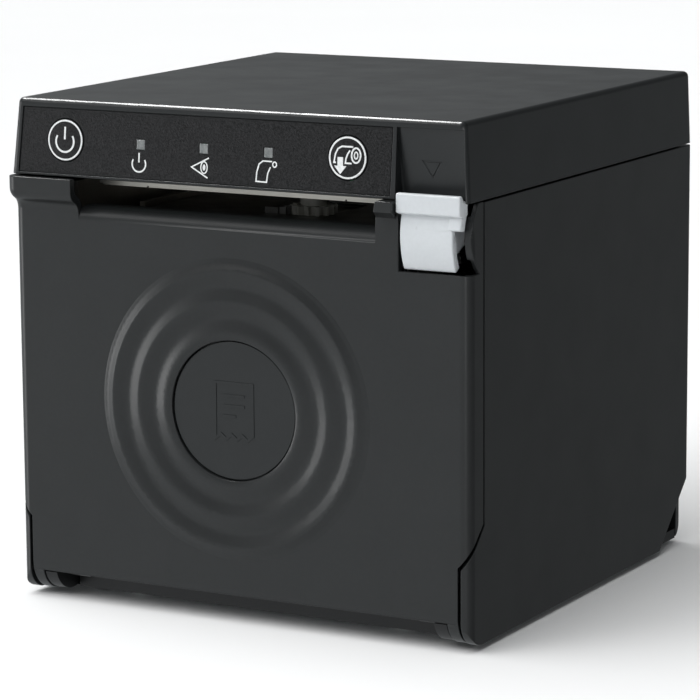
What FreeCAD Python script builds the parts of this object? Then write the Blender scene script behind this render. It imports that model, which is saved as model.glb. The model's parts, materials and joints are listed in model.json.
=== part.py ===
import FreeCAD, Part
import math
import os

# Receipt printer: a cube-shaped desktop thermal printer for 80 mm paper, whose front door drops
# forward on two pins near the table. Millimetres, +Z up, +X to the right seen from the front,
# -Y towards the user. The origin is on the table, under the middle of the printer.

V = FreeCAD.Vector

# ---------------------------------------------------------------- driving dimensions
width = 135.2
depth = 141.3
height = 135.0
foot_drop = 1.5            # the case stands this far above the table
wall = 2.2                 # moulded case walls
half_w = width / 2
back_y = depth / 2
lip_y = -depth / 2         # foremost face: the lip across the top of the door
lip_proud = 3.75           # lip in front of the door's main face
door_y = lip_y + lip_proud

lid_z = 114.9              # lower edge of the top cover
lid_y = door_y - 0.8       # foot of the cover's sloping front
lid_lean = 1.45            # the cover's front leans back this much over its height
case_top_z = 114.4         # upper edge of the side walls
seam_y = -58.95            # upright joint line between door and side wall
seam_gap = 0.8
seam_low_z = 32.5          # the joint line turns forward below this height
wrap_x = 64.35             # the case wraps round the front corners outside this line

front_foot_y = -48.0
front_foot_r = 5.0
rear_foot_y0 = 28.0        # long pads under the rear corners
rear_foot_y1 = 62.0

paper_x = -3.0             # middle of the paper path
paper_half = 40.0          # half of the 80 mm paper width
inner_x = half_w - 2.7     # inside of the side walls

hinge_y = -58.4            # door hinge pins
hinge_z = 9.8
hinge_curl = 8.5           # radius of the door's lower corners about the pins
hinge_pin_r = 2.0
run_gap = 0.05             # radial clearance of a running fit

platen_y = -48.45          # platen roller axis
platen_z = 94.5
platen_r = 5.5
platen_shaft_r = 2.5
nip_gap = 0.3              # between the print head and the platen

lever_y = -53.25           # release lever pivot
lever_z = 106.0
lever_out = 15.0           # from the pivot to the front of the lever's curved apron
lever_in = 12.7
lever_pin_r = 2.0
latch_y = -39.5            # pin on the door that the lever's hook catches
latch_z = 96.5

roll_y = 3.0               # middle of the paper roll bay
roll_z = 51.0
roll_r = 42.0

feed_module = 0.8          # feed gears
platen_teeth = 24
idler_teeth = 20
pinion_teeth = 12
gear_x0 = -53.0            # feed gear train lies between these two planes
gear_x1 = -48.4

cut_module = 0.8           # rack and its pinion
cut_pinion_teeth = 14
drive_module = 0.6         # cutter motor gear pair
drive_wheel_teeth = 30
drive_pinion_teeth = 10
cutter_y = -25.0           # cutter gear axis
blade_z = 103.0            # underside of the moving blade
cover_z = 112.4            # underside of the cutter's cover plate
bridge_y = -21.0           # cross web of the mechanism frame
drive_z = cover_z + 1.6    # underside of the drive wheel, above the cover plate
bracket_z = drive_z + 4.7  # underside of the cutter motor's bracket
drive_distance = drive_module * (drive_wheel_teeth + drive_pinion_teeth) / 2

ramp_deep = 4.4            # the hollow above the release lever: depth at its foot and at its head
ramp_shallow = 0.7
ramp_high = 18.6
arrow_x = 55.9
arrow_up = 7.8

lean_angle = math.degrees(math.atan(lid_lean / (height - lid_z)))


# ---------------------------------------------------------------- helpers
def box(x0, x1, y0, y1, z0, z1):
    return Part.makeBox(x1 - x0, y1 - y0, z1 - z0, V(x0, y0, z0))


def rod_x(x0, x1, y, z, r):
    return Part.makeCylinder(r, x1 - x0, V(x0, y, z), V(1, 0, 0))


def rod_y(y0, y1, x, z, r):
    return Part.makeCylinder(r, y1 - y0, V(x, y0, z), V(0, 1, 0))


def rod_z(z0, z1, x, y, r):
    return Part.makeCylinder(r, z1 - z0, V(x, y, z0), V(0, 0, 1))


def plate_x(points, x0, x1):
    """A flat outline of (y, z) points, made thick from x0 to x1."""
    ring = [V(x0, y, z) for y, z in points]
    return Part.Face(Part.makePolygon(ring + ring[:1])).extrude(V(x1 - x0, 0, 0))


def plate_y(points, y0, y1):
    """A flat outline of (x, z) points, made thick from y0 to y1."""
    ring = [V(x, y0, z) for x, z in points]
    return Part.Face(Part.makePolygon(ring + ring[:1])).extrude(V(0, y1 - y0, 0))


def plate_z(points, z0, z1):
    """A flat outline of (x, y) points, made thick from z0 to z1."""
    ring = [V(x, y, z0) for x, y in points]
    return Part.Face(Part.makePolygon(ring + ring[:1])).extrude(V(0, 0, z1 - z0))


def join(*shapes):
    return shapes[0].fuse(list(shapes[1:])).removeSplitter()


def group(*shapes):
    return Part.makeCompound(list(shapes))


def both_sides(shape):
    return [shape, shape.mirror(V(0, 0, 0), V(1, 0, 0))]


def edges_where(shape, test):
    return [edge for edge in shape.Edges if test(edge.BoundBox)]


def rounded(shape, radius, test):
    return shape.makeFillet(radius, edges_where(shape, test))


def along_z(box_, shortest=3.0):
    return box_.XLength < 0.3 and box_.YLength < 0.3 and box_.ZLength > shortest


def along_x(box_, shortest=3.0):
    return box_.YLength < 0.3 and box_.ZLength < 0.3 and box_.XLength > shortest


def along_y(box_, shortest=3.0):
    return box_.XLength < 0.3 and box_.ZLength < 0.3 and box_.YLength > shortest


def on_front(shape):
    """Move a shape from the cover front's own frame (x, depth, height up the slope) into place."""
    placed = shape.copy()
    placed.rotate(V(0, 0, 0), V(1, 0, 0), -lean_angle)
    placed.translate(V(0, lid_y, lid_z))
    return placed


def gear(teeth, module, bore, thickness, phase=0.0):
    """A spur gear on the Z axis with straight-sided teeth. phase turns a tooth towards +X."""
    pitch = 2 * math.pi / teeth
    tip = module * (teeth / 2 + 0.9)
    root = module * (teeth / 2 - 1.15)
    points = []
    for tooth in range(teeth):
        middle = phase + tooth * pitch
        for radius, share in ((root, -0.30), (tip, -0.12), (tip, 0.12), (root, 0.30)):
            angle = middle + share * pitch
            points.append((radius * math.cos(angle), radius * math.sin(angle)))
    body = plate_z(points, 0, thickness)
    return body.cut(rod_z(-1, thickness + 1, 0, 0, bore)) if bore else body


def gear_on_x(teeth, module, bore, x0, x1, y, z, towards):
    """A spur gear on an axis along X, one tooth (or the middle of a gap) pointing at an angle.

    towards is measured from +Y to +Z, in radians."""
    body = gear(teeth, module, bore, x1 - x0, towards)
    body.rotate(V(0, 0, 0), V(0, 1, 0), 90)
    body.rotate(V(0, 0, 0), V(1, 0, 0), 90)
    body.translate(V(x0, y, z))
    return body


def screw(x, y, z, direction, head_r=2.6, head_h=1.6, shank_r=1.3, length=6.0):
    """A pan-head cross-recess screw. Its head sits on the point, its shank runs along direction."""
    head = Part.makeCylinder(head_r, head_h, V(0, 0, -head_h))
    head = head.makeFillet(0.7, [head.Edges[2]]) if head_h > 1.2 else head
    shank = Part.makeCylinder(shank_r, length, V(0, 0, 0))
    slot = 0.35 * head_r
    recess = box(-slot * 1.6, slot * 1.6, -0.3, 0.3, -head_h - 1, -head_h + 0.8)
    cross = recess.fuse(box(-0.3, 0.3, -slot * 1.6, slot * 1.6, -head_h - 1, -head_h + 0.8))
    body = head.fuse(shank).removeSplitter().cut(cross)
    body.Placement = FreeCAD.Placement(V(x, y, z), FreeCAD.Rotation(V(0, 0, 1), V(*direction)))
    return body


def coil(start, direction, coil_r, wire_r, turns, length):
    """A helical spring from start along direction."""
    path = Part.makeHelix(length / turns, length, coil_r)
    profile = Part.Wire(Part.makeCircle(wire_r, V(coil_r, 0, 0), V(0, 1, 0)))
    body = Part.Wire(path).makePipeShell([profile], True, True)
    body.Placement = FreeCAD.Placement(start, FreeCAD.Rotation(V(0, 0, 1), V(*direction)))
    return body


def save(name, shape):
    if shape.ShapeType not in ("Solid", "Compound"):
        shape = Part.Solid(shape)
    for solid in shape.Solids:
        if not solid.isValid():
            print("not valid:", name)
    shape.exportStep("parts/" + name + ".step")


# ---------------------------------------------------------------- joint line between door and case
def seam_block(shift):
    """Everything on the case's side of the joint line, moved back by shift along the line's normal."""
    a = V(half_w, seam_y, seam_low_z)
    b = V(half_w, -65.0, 26.8)
    c = V(wrap_x, door_y, 21.9)
    normal = (b - a).cross(c - a).normalize()
    if normal.z > 0:
        normal = normal * -1
    slab = Part.makeBox(80, 400, 400, V(0, -200, -200))
    slab.Placement = FreeCAD.Placement(a + normal * shift, FreeCAD.Rotation(V(1, 0, 0), normal))
    lower = slab.common(box(0, 100, -100, 100, -20, 60))
    upper = box(0, 100, seam_y + shift, 100, seam_low_z - 2, 150)
    return lower.fuse(upper)


# ---------------------------------------------------------------- case
def body_shell():
    plan = box(-half_w, half_w, door_y, back_y, foot_drop, case_top_z)
    plan = rounded(plan, 3.0, lambda b: along_z(b) and b.YMax < 0)
    plan = rounded(plan, 1.5, lambda b: along_z(b) and b.YMin > 0)
    side_view = box(-half_w, half_w, door_y, back_y, foot_drop, case_top_z)
    side_view = rounded(side_view, 7.0, lambda b: along_x(b) and b.YMax < 0 and b.ZMax < 10)
    side_view = rounded(side_view, 3.8, lambda b: along_x(b) and b.YMin > 0 and b.ZMax < 10)
    outline = plan.common(side_view)
    block = seam_block(seam_gap / 2)
    sides = both_sides(block)
    middle = box(-inner_x, inner_x, seam_y + seam_gap / 2, back_y, 0, case_top_z)
    case = outline.common(sides[0].fuse([sides[1], middle]))
    inside = box(-inner_x, inner_x, -100, back_y - wall, -5, 200)
    case = case.cut(inside)
    window = rounded(box(-58, 58, back_y - 5, back_y + 5, 12, 50), 2.0,
                     lambda b: along_y(b))
    case = case.cut(window)
    vents = [box(x, x + 26, back_y - 5, back_y + 5, z, z + 2)
             for x in (-44, -13, 18) for z in range(84, 104, 4)]
    case = case.cut(group(*vents))
    rail = box(inner_x - 1.6, inner_x + 0.2, 20, 23, 4.5, 108)
    ribs = [item for y in (0, 32) for item in both_sides(rail.translated(V(0, y - 20, 0)))]
    return join(case, *ribs)


def base_plate():
    front_y = -56.0
    plate = box(-inner_x + 0.2, inner_x - 0.2, front_y, back_y - wall - 0.2, foot_drop, 4.2)
    front = box(-56.2, 56.2, front_y, front_y + 2, foot_drop, 12.0)
    plate = rounded(plate, 1.0, lambda b: along_x(b) and b.YMax < 0 and b.ZMax < 2)
    plate = join(plate, front)
    relief = rod_x(56.4, 70, hinge_y, hinge_z, hinge_curl + 0.5)
    knuckle = rod_x(50.0, 56.2, hinge_y, hinge_z, 4.6)
    web = box(50.0, 56.2, hinge_y, front_y + 2, 5.2, 14.4)
    bore = rod_x(49.0, 57.0, hinge_y, hinge_z, hinge_pin_r)
    for flip in range(2):
        plate = plate.cut(relief).fuse([knuckle, web]).cut(bore)
        relief, knuckle, web, bore = [item.mirror(V(0, 0, 0), V(1, 0, 0))
                                      for item in (relief, knuckle, web, bore)]
    for x, y in base_screw_places():
        plate = plate.cut(rod_z(0, 3.0, x, y, 3.0)).cut(rod_z(0, 6, x, y, 1.5))
        plate = plate.fuse(rod_z(4.0, 9.0, x, y, 3.2).cut(rod_z(3, 10, x, y, 1.35)))
    for x in (-52.0, 52.0):
        plate = plate.cut(rod_z(0, 2.5, x, front_foot_y, front_foot_r + 0.1))
        plate = plate.cut(box(x - 5.1, x + 5.1, rear_foot_y0 - 0.1, rear_foot_y1 + 0.1, 0, 2.5))
    louvres = [box(x, x + 2.4, -28, 18, 0, 8) for x in range(-36, 36, 6)]
    return plate.cut(group(*louvres)).removeSplitter()


def base_screw_places():
    return [(x, y) for x in (-40.0, 40.0) for y in (-50.0, 62.0)]


def feet():
    front = []
    rear = []
    for x in (-52.0, 52.0):
        disc = rod_z(0, 2.5, x, front_foot_y, front_foot_r)
        front.append(disc.makeFillet(0.6, [disc.Edges[2]]))
        pad = box(x - 5, x + 5, rear_foot_y0, rear_foot_y1, 0, 2.5)
        rear.append(rounded(pad, 0.6, lambda b: b.ZMax < 0.1))
    return group(*front), group(*rear)


def top_cover():
    def outline(z, x_front, x_rear, y0, y1):
        corners = [V(-x_front, y0, z), V(x_front, y0, z), V(x_rear, y1, z), V(-x_rear, y1, z)]
        return Part.makePolygon(corners + corners[:1])

    low = outline(lid_z, half_w, half_w, lid_y, back_y)
    high = outline(height, 66.0, 66.9, lid_y + lid_lean, back_y - 0.3)
    solid = Part.makeLoft([low, high], True, True)
    solid = solid.makeFillet(1.6, [e for e in solid.Edges if e.BoundBox.ZLength > 10])
    solid = solid.makeFillet(1.5, [e for e in solid.Edges if e.BoundBox.ZMin > height - 0.1])
    inside = box(-inner_x, inner_x, lid_y + 3.5, back_y - wall, lid_z - 5, height - 2.2)
    behind_recess = box(45.6, 67.0, lid_y + 3.3, -58.6, lid_z, height - 2.0)
    lid = solid.cut(inside).fuse(behind_recess.common(solid))
    tongue = box(-inner_x + 0.3, inner_x - 0.3, -48, back_y - wall - 0.3, lid_z - 3.4, lid_z + 1)
    tongue = tongue.cut(box(-inner_x + 2, inner_x - 2, -60, back_y - wall - 2, 0, 200))
    lid = lid.fuse(tongue).removeSplitter()
    lid = lid.cut(on_front(label_outline(0.25, -3, 1.1)))
    for x in (power_x, feed_x):
        lid = lid.cut(on_front(rod_y(-2, 8, x, button_up, button_r + 0.3)))
    for x in lamp_x:
        lid = lid.cut(on_front(box(x - 1.5, x + 1.5, -2, 8, lamp_up - 1.6, lamp_up + 1.6)))
    ramp = plate_x([(-3, -2), (ramp_deep, -2), (ramp_deep, 0.2), (ramp_shallow, ramp_high),
                    (-3, ramp_high)], 47.1, 70)
    right = plate_y([(46, -3), (66.85, -3), (65.5, 18), (46, 18)], -4, 8)
    ramp = rounded(ramp.common(right), 0.6, lambda b: b.ZLength > 10 and b.XMax < 50)
    lid = lid.cut(on_front(ramp))
    slope = (ramp_deep - ramp_shallow) / (ramp_high - 0.2)
    arrow = arrow_groove()
    arrow.rotate(V(0, 0, 0), V(1, 0, 0), math.degrees(math.atan(slope)))
    arrow.translate(V(arrow_x, ramp_deep - (arrow_up - 0.2) * slope, arrow_up))
    return lid.cut(on_front(arrow))


def arrow_groove():
    """A thin triangular groove that points down, about its own origin."""
    def outline(size):
        return plate_y([(-2.7 * size, 2.1 * size + 0.1), (2.7 * size, 2.1 * size + 0.1),
                        (0, -2.3 * size)], -0.25, 0.25)
    return outline(1.0).cut(outline(0.82))


# ---------------------------------------------------------------- control panel
power_x = -50.8
feed_x = 33.4
button_up = 9.6            # height up the cover's sloping front
button_r = 5.6
lamp_x = (-27.7, -8.7, 10.4)
lamp_up = 9.6
label_sink = 1.0
label_thick = 0.7
button_travel = 0.8


def label_outline(grow, front, back):
    corners = [(-65.1 - grow, 0.9 - grow), (45.4 + grow, 0.9 - grow),
               (45.8 + grow, 17.7 + grow), (-63.9 - grow, 17.7 + grow)]
    plate = plate_y(corners, front, back)
    return plate.makeFillet(0.35, [e for e in plate.Edges if e.BoundBox.ZLength < 0.1
                                   and e.BoundBox.XLength < 0.1])


def control_label():
    label = label_outline(0.0, label_sink - label_thick, label_sink)
    for x in (power_x, feed_x):
        label = label.cut(rod_y(-2, 4, x, button_up, button_r + 0.2))
    for x in lamp_x:
        label = label.cut(box(x - 1.35, x + 1.35, -2, 4, lamp_up - 1.4, lamp_up + 1.4))
    return on_front(label)


def lamp_lenses():
    lenses = []
    for x in lamp_x:
        window = box(x - 1.25, x + 1.25, 0.25, 6.4, lamp_up - 1.3, lamp_up + 1.3)
        lenses.append(on_front(rounded(window, 0.25, lambda b: b.YMax < 0.3)))
    return group(*lenses)


def button(x):
    """A round key: cap, flange behind the wall and a plunger that enters its switch."""
    front = label_sink - label_thick - 0.15
    cap = rod_y(front, 4.0, x, button_up, button_r)
    cap = cap.makeFillet(0.35, [e for e in cap.Edges if e.BoundBox.YMax < front + 0.01])
    plunger = rod_y(4.0, 7.3, x, button_up, 1.2)
    return on_front(join(cap, plunger))


def control_board():
    board = box(-61.6, 42.9, 9.0, 10.4, 2.2, 16.6)
    holes = [rod_y(8, 12, x, 4.4, 1.4) for x in (-59.1, 40.4)]
    return on_front(board.cut(group(*holes)))


def switches():
    bodies = []
    for x in (power_x, feed_x):
        body = box(x - 3, x + 3, 6.2, 9.0, button_up - 3, button_up + 3)
        bodies.append(on_front(body.cut(rod_y(6, 8.6, x, button_up, 1.5))))
    return group(*bodies)


def lamps():
    return group(*[on_front(box(x - 1, x + 1, 7.6, 9.0, lamp_up - 0.8, lamp_up + 0.8))
                   for x in lamp_x])


# ---------------------------------------------------------------- door
def door_outline(inset):
    """The door's side profile, as a closed wire in the YZ plane, set in by inset."""
    s_height = 6.0
    top = 114.6
    lip_low = 111.3
    turn = 2 * math.atan(lip_proud / s_height)
    out_r = s_height / 2 / math.sin(turn)
    half = turn / 2

    def arc_mid(y, z, r, angle):
        return V(0, y + r * math.cos(angle), z + r * math.sin(angle))

    convex_r = out_r - inset
    concave_r = out_r + inset
    c1 = (lip_y + out_r, lip_low)
    c2 = (door_y - out_r, lip_low - s_height)
    p0 = V(0, lip_y + inset, lip_low)
    p1 = V(0, c1[0] - convex_r * math.cos(turn), c1[1] - convex_r * math.sin(turn))
    p2 = V(0, door_y + inset, lip_low - s_height)
    m1 = arc_mid(c1[0], c1[1], convex_r, math.pi + half)
    m2 = arc_mid(c2[0], c2[1], concave_r, half)
    low = V(0, door_y + inset, hinge_z)
    curl = hinge_curl - inset
    back = seam_y - seam_gap / 2 + inset * 3
    last_y = min(back, hinge_y)
    last_angle = math.pi + math.acos((hinge_y - last_y) / curl)
    m3 = arc_mid(hinge_y, hinge_z, curl, (math.pi + last_angle) / 2)
    end = V(0, last_y, hinge_z + curl * math.sin(last_angle))
    over = top + inset * 3
    corners = [end, V(0, back, end.z), V(0, back, over), V(0, lip_y + inset, over)]
    if back - last_y < 0.01:
        corners = corners[:1] + corners[2:]
    edges = [Part.LineSegment(start, stop).toShape()
             for start, stop in zip(corners, corners[1:] + [p0])]
    edges.append(Part.Arc(p0, m1, p1).toShape())
    edges.append(Part.Arc(p1, m2, p2).toShape())
    edges.append(Part.LineSegment(p2, low).toShape())
    edges.append(Part.Arc(low, m3, end).toShape())
    return Part.Wire(Part.__sortEdges__(edges))


def ripple_rings():
    """Raised rings round the disc, as a solid of revolution sunk a little into the door face."""
    inner = 17.0
    outer = 39.7
    steps = 46
    crest = 0.85
    step_up = 0.08             # the troughs stay this far above the flat face
    points = []
    for i in range(steps + 1):
        r = inner + (outer - inner) * i / steps
        wave = 0.5 + 0.5 * math.cos(2 * math.pi * (r - ring_crest) / ring_pitch)
        fade = min(1.0, (outer - r) / 3.0)
        points.append(V(r, -crest * wave * fade - step_up, 0))
    spline = Part.BSplineCurve()
    spline.interpolate(points)
    path = [points[-1], V(outer + 0.7, 0.5, 0), V(inner, 0.5, 0), points[0]]
    edges = [spline.toShape()]
    edges += [Part.LineSegment(start, stop).toShape() for start, stop in zip(path, path[1:])]
    return Part.Face(Part.Wire(edges)).revolve(V(0, 0, 0), V(0, 1, 0), 360)


disc_x = -0.5
disc_z = 56.9
disc_r = 18.45
ring_crest = 28.3
ring_pitch = 8.2
notch_x0 = -47.2
notch_x1 = 41.1
chute_z = 103.3            # where the door's face starts to roll back into the paper chute
chute_r = 4.0


def door_cover():
    shell = Part.Face(door_outline(0.0)).extrude(V(width, 0, 0))
    shell.translate(V(-half_w, 0, 0))
    shell = shell.makeFillet(3.0, [e for e in shell.Edges
                                   if e.BoundBox.XLength < 0.1 and e.BoundBox.YMin < -60
                                   and e.BoundBox.YMax < seam_y - 2
                                   and e.BoundBox.ZMin > hinge_z - 1])
    hollow = Part.Face(door_outline(wall)).extrude(V(2 * (half_w - wall), 0, 0))
    hollow.translate(V(-half_w + wall, 0, 0))
    shell = shell.cut(hollow)
    for side in both_sides(seam_block(-seam_gap / 2)):
        lower = side.common(box(-100, 100, -100, 100, -10, 60))
        outside = box(-100, -wrap_x + 0.25, -100, 0, -10, 60).fuse(
            box(wrap_x - 0.25, 100, -100, 0, -10, 60))
        shell = shell.cut(lower.common(outside))
    shell = shell.cut(box(-60.9, 60.9, -100, 0, -10, 7.6))
    shell = shell.cut(box(notch_x0, notch_x1, -100, 0, chute_z, 200))
    chute = box(notch_x0, notch_x1, door_y, seam_y - 0.6, 97.6, chute_z + chute_r)
    chute = rounded(chute, chute_r - 0.05,
                    lambda b: along_x(b) and b.YMax < door_y + 0.1 and b.ZMin > chute_z)
    shell = shell.fuse(chute).cut(box(-47.4, 42.2, door_y + 5.9, -59, 90, 101.9))
    block_foot = plate_x([(lip_y - 1, 104.0), (lip_y - 1, 112.6), (lip_y + 2.4, 110.2),
                          (door_y, 110.2), (door_y, 104.0)], notch_x1 - 0.1, 47.7)
    block_side = plate_y([(notch_x1 - 0.1, 110.2), (42.1, 110.2), (43.0, 114.7), (43.0, 116),
                          (notch_x1 - 0.1, 116)], -100, -60)
    backing = box(notch_x1, 47.6, door_y, door_y + wall, 103.0, 114.6)
    block = box(notch_x1, 47.6, lip_y + 1.0, door_y + 1.0, 111.5, 114.6)
    shell = shell.fuse([backing, block]).cut(block_foot).cut(block_side)
    lever_room = box(47.6, 80, -100, seam_y, 96.8, 200)
    flank = rod_x(47, 90, lever_y, lever_z, lever_out - 2.6)
    shell = shell.cut(lever_room.cut(flank))
    shell = shell.cut(box(47.6, half_w - wall, door_y + 1.1, 0, 92.0, 200))
    shell = shell.cut(box(half_w - wall - 0.1, half_w - 1.2, door_y + 2.6, 0, 95.0, 200))
    rings = ripple_rings()
    rings.translate(V(disc_x, door_y, disc_z))
    shell = shell.fuse(rings)
    shell = shell.cut(rod_y(door_y - 5, door_y + 1.5, disc_x, disc_z, disc_r))
    for x, z in door_screw_places():
        post = rod_y(door_y + wall - 0.2, door_y + 4.2, x, z, 2.6)
        shell = shell.fuse(post.cut(rod_y(door_y + wall, door_y + 6, x, z, 1.15)))
    return shell.removeSplitter()


def door_screw_places():
    return [(x, z) for x in (-54.0, 50.0) for z in (22.0, 86.0)]


def door_disc():
    disc = rod_y(door_y - 0.1, door_y + 1.5, disc_x, disc_z, disc_r - 0.28)
    disc = disc.makeFillet(0.25, [e for e in disc.Edges if e.BoundBox.YMax < door_y])
    return disc


def door_inner_frame():
    """The black inner moulding: front wall of the roll bay, its side ribs and the hinge knuckles."""
    front = door_y + 4.2
    plate = box(-60.4, 60.4, front, front + 1.8, 15.0, 97.0)
    rib = plate_x([(front, 20), (front + 12, 30), (front + 16, 46), (front + 16, 70),
                   (front + 6, 84), (front, 84)], 41.5, 43.2)
    ribs = [rib, rib.translated(V(-91.0, 0, 0))]
    pocket = box(47.0, 61.0, front - 1, front + 3, 88.0, 100)
    plate = plate.cut(pocket)
    stiffeners = [box(-58, 46, front + 1.8, front + 4.5, z, z + 1.4) for z in (26, 41, 56, 71)]
    parts = [plate] + ribs + stiffeners
    for side in (-1, 1):
        disc = rod_x(57.0, 60.6, hinge_y, hinge_z, hinge_curl - 0.3)
        disc = disc.cut(box(50, 70, -100, door_y + wall + 0.3, 7.3, 100))
        boss = rod_x(60.5, 63.8, hinge_y, hinge_z, hinge_curl - wall - 0.3)
        arm = box(57.0, 60.4, front, front + 6.5, 9.0, 30.0)
        knuckle = join(disc, boss, arm)
        knuckle = knuckle.cut(rod_x(56, 65, hinge_y, hinge_z, hinge_pin_r + run_gap))
        parts.append(knuckle if side > 0 else knuckle.mirror(V(0, 0, 0), V(1, 0, 0)))
    body = join(*parts)
    for x, z in door_screw_places():
        body = body.cut(rod_y(front - 2, front + 6, x, z, 1.5))
    return body


def platen_bracket():
    """Cheeks and cross web that carry the platen, the fixed blade and the latch pin."""
    back = door_y + 6.2
    cheek = plate_x([(back, 80), (back + 12, 80), (-42, 90), (-36.5, 93.5), (-36.5, 99),
                     (-42, 100.4), (back, 100.4)], 0, 1.2)
    left = cheek.translated(V(-46.7, 0, 0))
    right = cheek.translated(V(40.3, 0, 0))
    left = left.cut(box(-50, -40, -42.4, 0, 80, 110))
    web = box(-46.7, 41.5, back, back + 1.2, 80.0, 100.4)
    shelf = box(-46.7, 41.5, back, -45.4, 100.4, 101.6)
    body = join(left, right, web, shelf)
    hole = rod_x(-60, 60, platen_y, platen_z, 4.0)
    pin_hole = rod_x(35, 60, latch_y, latch_z, 1.5)
    body = body.cut(hole.cut(box(-45, 39, -80, 0, 80, 110))).cut(pin_hole)
    return body.cut(group(*[rod_z(99, 103, x, -54.5, 1.2) for x in (-38.0, 32.0)]))


def latch_pin():
    pin = rod_x(40.3, 52.0, latch_y, latch_z, 1.5)
    return pin.makeFillet(0.4, [e for e in pin.Edges if e.BoundBox.XMin > 51])


def platen_bushes():
    bushes = []
    for x0, x1 in ((-47.3, -44.9), (39.7, 41.9)):
        flange_x = x0 if x0 > 0 else x1 - 0.6
        body = rod_x(x0, x1, platen_y, platen_z, 4.0)
        flange = rod_x(flange_x, flange_x + 0.6, platen_y, platen_z, 4.9)
        bore = rod_x(x0 - 1, x1 + 1, platen_y, platen_z, platen_shaft_r + run_gap)
        bushes.append(join(body, flange).cut(bore))
    return group(*bushes)


def fixed_blade():
    plate = plate_x([(-58.0, 101.6), (-44.3, 101.6), (-44.3, 102.3), (-44.8, 102.5), (-58.0, 102.5)],
                    -45.5, 40.0)
    return plate.cut(group(*[rod_z(100, 104, x, -54.5, 1.2) for x in (-38.0, 32.0)]))


def exit_guide():
    """Ribbed wedge that lifts the cut paper from the blade to the chute."""
    wedge = plate_x([(-59.3, 102.6), (-50.7, 102.6), (-50.7, 103.0), (-54.5, 105.0),
                     (-59.3, 107.0)], -46.0, 40.0)
    slots = [box(x, x + 5.2, -56.5, -46, 102.9, 110) for x in range(-44, 36, 7)]
    wedge = wedge.cut(group(*slots))
    heads = [rod_z(102, 106.6, x, -54.5, 2.3) for x in (-38.0, 32.0)]
    return wedge.cut(group(*heads))


# ---------------------------------------------------------------- platen and feed gears
idler_distance = feed_module * (platen_teeth + idler_teeth) / 2
pinion_distance = feed_module * (idler_teeth + pinion_teeth) / 2
to_idler = math.radians(-6.0)     # from the platen, measured from +Y to +Z
to_pinion = math.radians(-58.0)   # from the idler
idler_y = platen_y + idler_distance * math.cos(to_idler)
idler_z = platen_z + idler_distance * math.sin(to_idler)
pinion_y = idler_y + pinion_distance * math.cos(to_pinion)
pinion_z = idler_z + pinion_distance * math.sin(to_pinion)
ear_reach = 14.8                  # feed motor screws, above and below its shaft


def platen_group():
    shaft = rod_x(-53.2, 42.2, platen_y, platen_z, platen_shaft_r)
    shaft = shaft.makeChamfer(0.3, [shaft.Edges[0], shaft.Edges[2]])
    rubber = rod_x(paper_x - paper_half - 1, paper_x + paper_half + 1, platen_y, platen_z, platen_r)
    rubber = rubber.makeFillet(0.4, [rubber.Edges[0], rubber.Edges[2]])
    rubber = rubber.cut(rod_x(-60, 60, platen_y, platen_z, platen_shaft_r))
    wheel = gear_on_x(platen_teeth, feed_module, platen_shaft_r, gear_x0, gear_x1,
                      platen_y, platen_z, to_idler)
    web = rod_x(gear_x0 - 1, gear_x0 + 1.2, platen_y, platen_z, 7.6)
    wheel = wheel.cut(web.cut(rod_x(-60, 0, platen_y, platen_z, 4.4)))
    return shaft, rubber, wheel


def idler_gear():
    """Its gap faces the platen gear's tooth."""
    half_pitch = math.pi / idler_teeth
    wheel = gear_on_x(idler_teeth, feed_module, 1.5 + run_gap, gear_x0, gear_x1,
                      idler_y, idler_z, to_idler + math.pi + half_pitch)
    web = rod_x(gear_x1 - 1.2, gear_x1 + 1, idler_y, idler_z, 6.0)
    return wheel.cut(web.cut(rod_x(-60, 0, idler_y, idler_z, 3.2)))


def motor_pinion():
    """A gap of the pinion faces whichever idler tooth is nearest the line between them."""
    idler_start = to_idler + math.pi + math.pi / idler_teeth
    pitch = 2 * math.pi / idler_teeth
    offset = (to_pinion - idler_start) / pitch
    miss = (offset - round(offset)) * pitch
    turn = miss * idler_teeth / pinion_teeth
    phase = to_pinion + math.pi + math.pi / pinion_teeth + turn
    wheel = gear_on_x(pinion_teeth, feed_module, 0, gear_x0, gear_x1, pinion_y, pinion_z, phase)
    return join(wheel, rod_x(-59.0, gear_x1 + 1, pinion_y, pinion_z, 1.0))


def feed_motor():
    can = rod_x(-64.3, -54.6, pinion_y, pinion_z, 12.5)
    can = can.makeFillet(0.8, [can.Edges[0], can.Edges[2]])
    ears = box(-55.4, -54.6, pinion_y - 3, pinion_y + 3, pinion_z - 17.2, pinion_z + 17.2)
    for dz in (-ear_reach, ear_reach):
        ears = ears.cut(rod_x(-60, -50, pinion_y, pinion_z + dz, 1.0))
    boss = rod_x(-54.7, -54.4, pinion_y, pinion_z, 3.0)
    body = join(can, ears, boss)
    return body.cut(rod_x(-60.0, -50, pinion_y, pinion_z, 1.0 + run_gap))


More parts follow.
